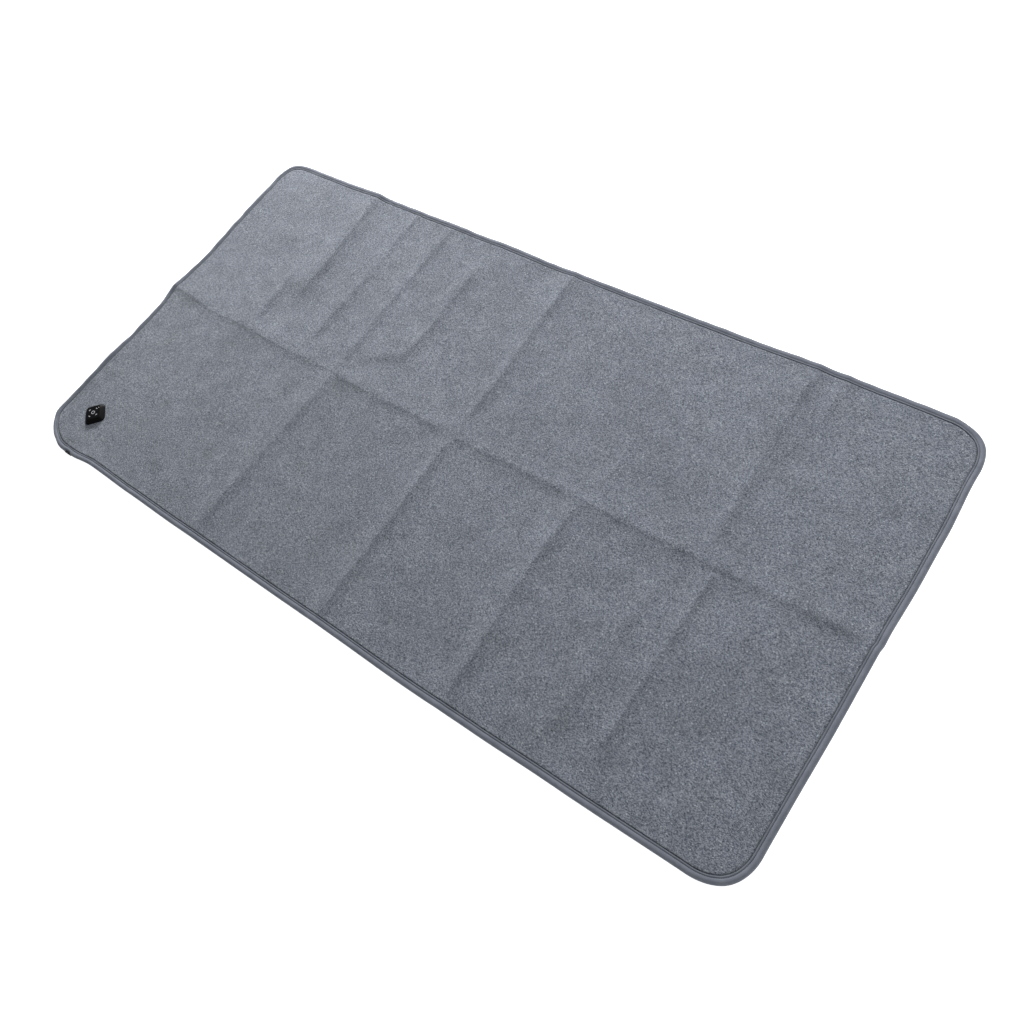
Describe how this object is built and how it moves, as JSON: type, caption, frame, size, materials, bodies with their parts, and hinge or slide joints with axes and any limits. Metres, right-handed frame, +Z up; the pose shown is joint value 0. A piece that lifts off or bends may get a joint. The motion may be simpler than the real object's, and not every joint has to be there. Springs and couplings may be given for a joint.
{
  "type": "infrared heating blanket",
  "caption": "Flat far-infrared heating blanket: felt face with a sewn edge binding, folding in half lengthwise, with a low puck controller and a power inlet near one corner.",
  "frame": {"origin": "middle of the underside, on the surface the blanket lies on", "axes": "+X along the blanket's length, away from the controller's end; +Y across it, away from the controller's edge; +Z up through the felt face"},
  "size_m": [1.8, 0.93, 0.017],
  "materials": {
    "heather_felt": "matte",
    "backing_cloth": "matte",
    "wadding": "matte",
    "reflective_foil": "gloss",
    "carrier_fleece": "matte",
    "carbon_film": "matte",
    "copper": "satin",
    "contact_brass": "satin",
    "component_black": "matte",
    "sensor_sleeve": "satin",
    "lead_silicone": "satin",
    "binding_tape": "matte",
    "seam_thread": "matte",
    "inlet_plastic": "satin",
    "controller_plastic": "satin",
    "button_plastic": "satin",
    "seal_rubber": "matte",
    "clamp_plastic": "satin",
    "screw_steel": "satin",
    "board_laminate": "satin",
    "light_white": "satin",
    "plunger_plastic": "satin"
  },
  "bodies": {
    "near_half": {"felt_face_near": "heather_felt", "backing_cloth_near": "backing_cloth", "wadding_near": "wadding", "reflective_foil_near": "reflective_foil", "heater_carrier_near": "carrier_fleece", "carbon_film_near": "carbon_film", "busbars_near": "copper", "link_braids_near": "copper", "feed_ribbon_near": "copper", "return_ribbon_near": "copper", "thermal_cutout_near": "component_black", "temperature_sensor_near": "sensor_sleeve", "sensor_leads_near": "lead_silicone", "output_leads": "lead_silicone", "output_crimps": "copper", "power_leads": "lead_silicone", "edge_binding_near": "binding_tape", "binding_seam_near": "seam_thread", "inlet_housing": "inlet_plastic", "inlet_contacts": "contact_brass", "controller_base": "controller_plastic", "controller_cover": "controller_plastic", "cover_gasket": "seal_rubber", "clamp_plate": "clamp_plastic", "clamp_screws": "screw_steel", "lead_grommet": "seal_rubber", "circuit_board": "board_laminate", "switch_body": "component_black", "indicator_leds": "light_white", "control_chip": "component_black", "power_transistors": "component_black", "level_windows": "light_white", "status_window": "light_white"},
    "far_half": {"felt_face_far": "heather_felt", "backing_cloth_far": "backing_cloth", "wadding_far": "wadding", "reflective_foil_far": "reflective_foil", "heater_carrier_far": "carrier_fleece", "carbon_film_far": "carbon_film", "busbars_far": "copper", "link_braids_far": "copper", "feed_ribbon_far": "copper", "return_ribbon_far": "copper", "thermal_cutout_far": "component_black", "temperature_sensor_far": "sensor_sleeve", "sensor_lead_far": "lead_silicone", "edge_binding_far": "binding_tape", "binding_seam_far": "seam_thread"},
    "button": {"control_button": "button_plastic", "button_light_ring": "light_white"},
    "plunger": {"switch_plunger": "plunger_plastic"}
  },
  "joints": [
    {"name": "lengthwise_fold", "type": "hinge", "parent": "near_half", "child": "far_half", "pos_m": [0, 0, 0.0142], "axis": [1, 0, 0], "range_deg": [0, 178]},
    {"name": "button_press", "type": "slide", "parent": "near_half", "child": "button", "axis": [0, 0, -1], "range_m": [0, 0.0004], "stiffness_N_per_m": 3000},
    {"name": "plunger_press", "type": "slide", "parent": "near_half", "child": "plunger", "axis": [0, 0, -1], "range_m": [0, 0.0004]}
  ],
  "couplings": [
    {"joint": "plunger_press", "follows": "button_press", "ratio": 1}
  ]
}
